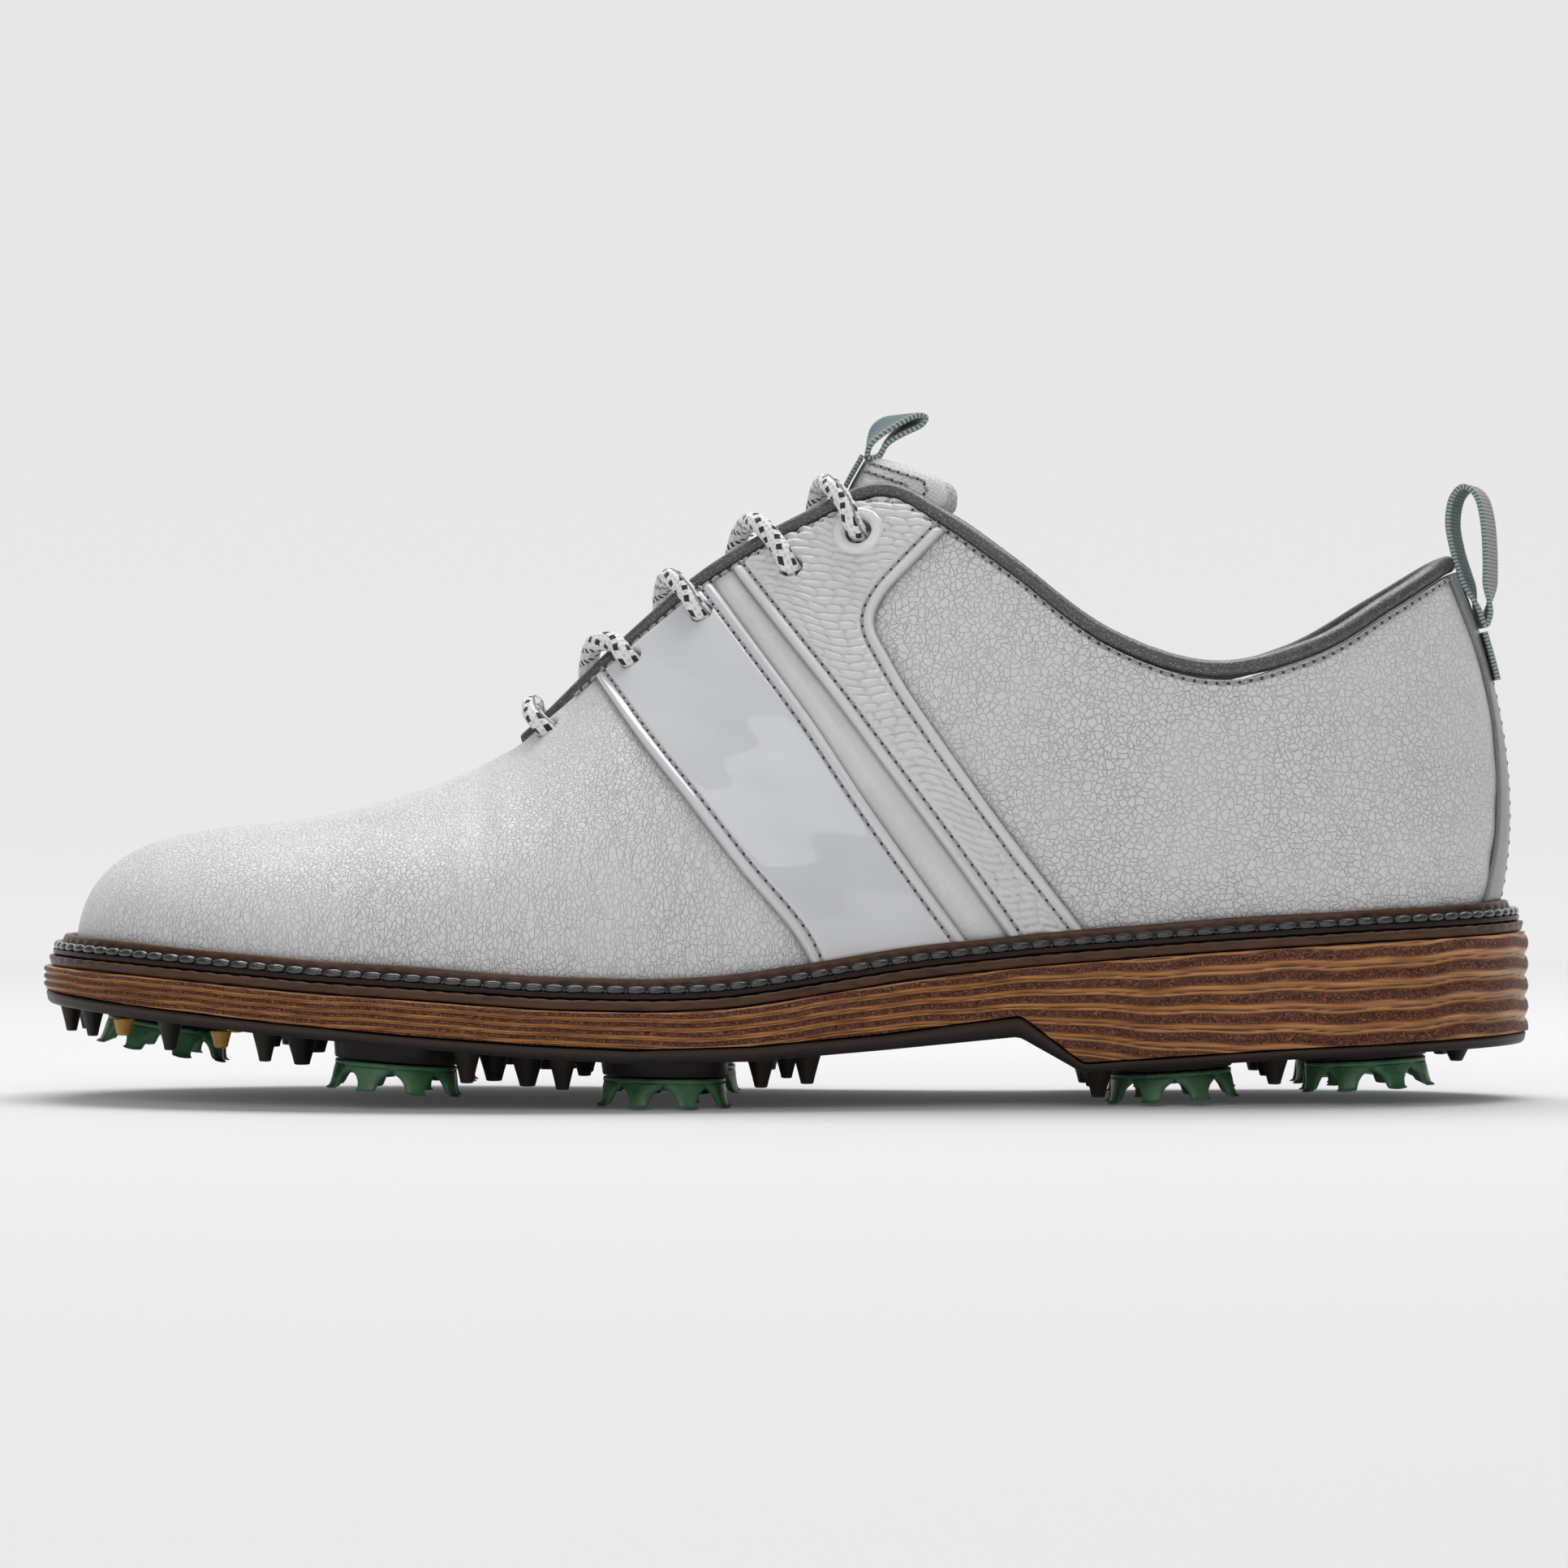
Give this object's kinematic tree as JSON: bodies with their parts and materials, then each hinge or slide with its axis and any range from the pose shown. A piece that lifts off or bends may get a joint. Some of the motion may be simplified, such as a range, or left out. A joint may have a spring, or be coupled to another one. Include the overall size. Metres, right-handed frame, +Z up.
{
  "type": "golf shoe",
  "caption": "Low-cut saddle-style golf shoe with a laced tongue flap, padded collar, ridged stacked sole and twist-in soft cleats.",
  "frame": {"origin": "middle of the shoe's box in X and Y, on the floor it stands on", "axes": "+Z up, toe towards -X and heel towards +X, outer (lateral) side of the foot towards -Y"},
  "size_m": [0.2992, 0.1082, 0.1378],
  "materials": {
    "white_leather": "fine grain, satin",
    "scale_leather": "embossed with wavy scales, satin",
    "patent_leather": "patent, high gloss",
    "binding": "grey metallic, stitched",
    "lining_textile": "soft knit",
    "tongue_textile": "white textile with a punched edge",
    "foam": "open-cell foam",
    "stiffener": "pressed fibre board",
    "cord": "woven, white with black flecks",
    "eyelet_plastic": "gloss",
    "ribbon": "ribbed grosgrain",
    "welt_leather": "waxed, satin",
    "thread": "waxed thread",
    "stack": "ridged and printed like stacked leather, satin",
    "cork": "cork",
    "steel": "plain",
    "outsole_tpu": "moulded, satin",
    "accent_tpu": "translucent amber",
    "receptacle_nylon": "moulded",
    "cleat_tpu": "translucent green"
  },
  "bodies": {
    "shoe": {"vamp": "white_leather", "underlay_strip_lateral": "white_leather", "underlay_strip_medial": "white_leather", "quarter_lateral": "white_leather", "quarter_medial": "white_leather", "eyestay_lateral": "scale_leather", "eyestay_medial": "scale_leather", "saddle_lateral": "patent_leather", "saddle_medial": "patent_leather", "heel_backstay": "binding", "collar_piping": "binding", "lining": "lining_textile", "sock_liner": "lining_textile", "collar_foam": "foam", "toe_puff": "stiffener", "heel_counter": "stiffener", "lasting_board": "stiffener", "lace": "cord", "eyelet_lateral": "eyelet_plastic", "eyelet_medial": "eyelet_plastic", "heel_loop_tab": "ribbon", "storm_welt": "welt_leather", "welt_strip": "welt_leather", "welt_thread": "thread", "midsole": "stack", "cork_filler": "cork", "shank": "steel", "outsole": "outsole_tpu", "accent_nub_toe": "accent_tpu", "accent_nub_lateral": "accent_tpu", "accent_nub_medial": "accent_tpu", "receptacle_toe": "receptacle_nylon", "receptacle_fore_lateral_front": "receptacle_nylon", "receptacle_fore_lateral_rear": "receptacle_nylon", "receptacle_fore_medial_front": "receptacle_nylon", "receptacle_fore_medial_rear": "receptacle_nylon", "receptacle_heel_lateral_front": "receptacle_nylon", "receptacle_heel_lateral_rear": "receptacle_nylon", "receptacle_heel_medial_front": "receptacle_nylon", "receptacle_heel_medial_rear": "receptacle_nylon"},
    "tongue": {"tongue_lining": "lining_textile", "tongue": "tongue_textile", "tongue_foam": "foam", "tongue_loop_tab": "ribbon"},
    "heel_pull_loop": {"heel_pull_loop": "ribbon"},
    "tongue_pull_loop": {"tongue_pull_loop": "ribbon"},
    "cleat_toe": {"cleat_toe": "cleat_tpu"},
    "cleat_fore_lateral_front": {"cleat_fore_lateral_front": "cleat_tpu"},
    "cleat_fore_lateral_rear": {"cleat_fore_lateral_rear": "cleat_tpu"},
    "cleat_fore_medial_front": {"cleat_fore_medial_front": "cleat_tpu"},
    "cleat_fore_medial_rear": {"cleat_fore_medial_rear": "cleat_tpu"},
    "cleat_heel_lateral_front": {"cleat_heel_lateral_front": "cleat_tpu"},
    "cleat_heel_lateral_rear": {"cleat_heel_lateral_rear": "cleat_tpu"},
    "cleat_heel_medial_front": {"cleat_heel_medial_front": "cleat_tpu"},
    "cleat_heel_medial_rear": {"cleat_heel_medial_rear": "cleat_tpu"}
  },
  "joints": [
    {"name": "tongue_flex", "type": "hinge", "parent": "shoe", "child": "tongue", "pos_m": [-0.06325, 0.00375, 0.05449], "axis": [0, 1, 0], "range_deg": [0, 4]},
    {"name": "tongue_loop_fold", "type": "hinge", "parent": "tongue", "child": "tongue_pull_loop", "pos_m": [0.01765, 0.00375, 0.12899], "axis": [0, 1, 0], "range_deg": [-25, 12]},
    {"name": "heel_loop_fold", "type": "hinge", "parent": "shoe", "child": "heel_pull_loop", "pos_m": [0.14075, 0.00275, 0.09579], "axis": [0, 1, 0], "range_deg": [0, 70]},
    {"name": "cleat_twist_toe", "type": "hinge", "parent": "shoe", "child": "cleat_toe", "pos_m": [-0.12428, -0.00025, 0.0153], "axis": [0.1668, 0, 0.986], "range_deg": [0, 60]},
    {"name": "cleat_twist_fore_lateral_front", "type": "hinge", "parent": "shoe", "child": "cleat_fore_lateral_front", "pos_m": [-0.07633, -0.03025, 0.00877], "axis": [0.0732, 0, 0.9973], "range_deg": [0, 60]},
    {"name": "cleat_twist_fore_lateral_rear", "type": "hinge", "parent": "shoe", "child": "cleat_fore_lateral_rear", "pos_m": [-0.02367, -0.03225, 0.00598], "axis": [0.014, 0, 0.9999], "range_deg": [0, 60]},
    {"name": "cleat_twist_fore_medial_front", "type": "hinge", "parent": "shoe", "child": "cleat_fore_medial_front", "pos_m": [-0.07633, 0.03175, 0.00877], "axis": [0.0732, 0, 0.9973], "range_deg": [0, 60]},
    {"name": "cleat_twist_fore_medial_rear", "type": "hinge", "parent": "shoe", "child": "cleat_fore_medial_rear", "pos_m": [-0.02217, 0.02575, 0.00598], "axis": [0.014, 0, 0.9999], "range_deg": [0, 60]},
    {"name": "cleat_twist_heel_lateral_front", "type": "hinge", "parent": "shoe", "child": "cleat_heel_lateral_front", "pos_m": [0.07642, -0.01775, 0.00658], "axis": [-0.0576, 0, 0.9983], "range_deg": [0, 60]},
    {"name": "cleat_twist_heel_lateral_rear", "type": "hinge", "parent": "shoe", "child": "cleat_heel_lateral_rear", "pos_m": [0.11522, -0.01525, 0.00878], "axis": [-0.0576, 0, 0.9983], "range_deg": [0, 60]},
    {"name": "cleat_twist_heel_medial_front", "type": "hinge", "parent": "shoe", "child": "cleat_heel_medial_front", "pos_m": [0.07842, 0.01975, 0.00668], "axis": [-0.0576, 0, 0.9983], "range_deg": [0, 60]},
    {"name": "cleat_twist_heel_medial_rear", "type": "hinge", "parent": "shoe", "child": "cleat_heel_medial_rear", "pos_m": [0.11622, 0.01775, 0.00883], "axis": [-0.0576, 0, 0.9983], "range_deg": [0, 60]}
  ]
}
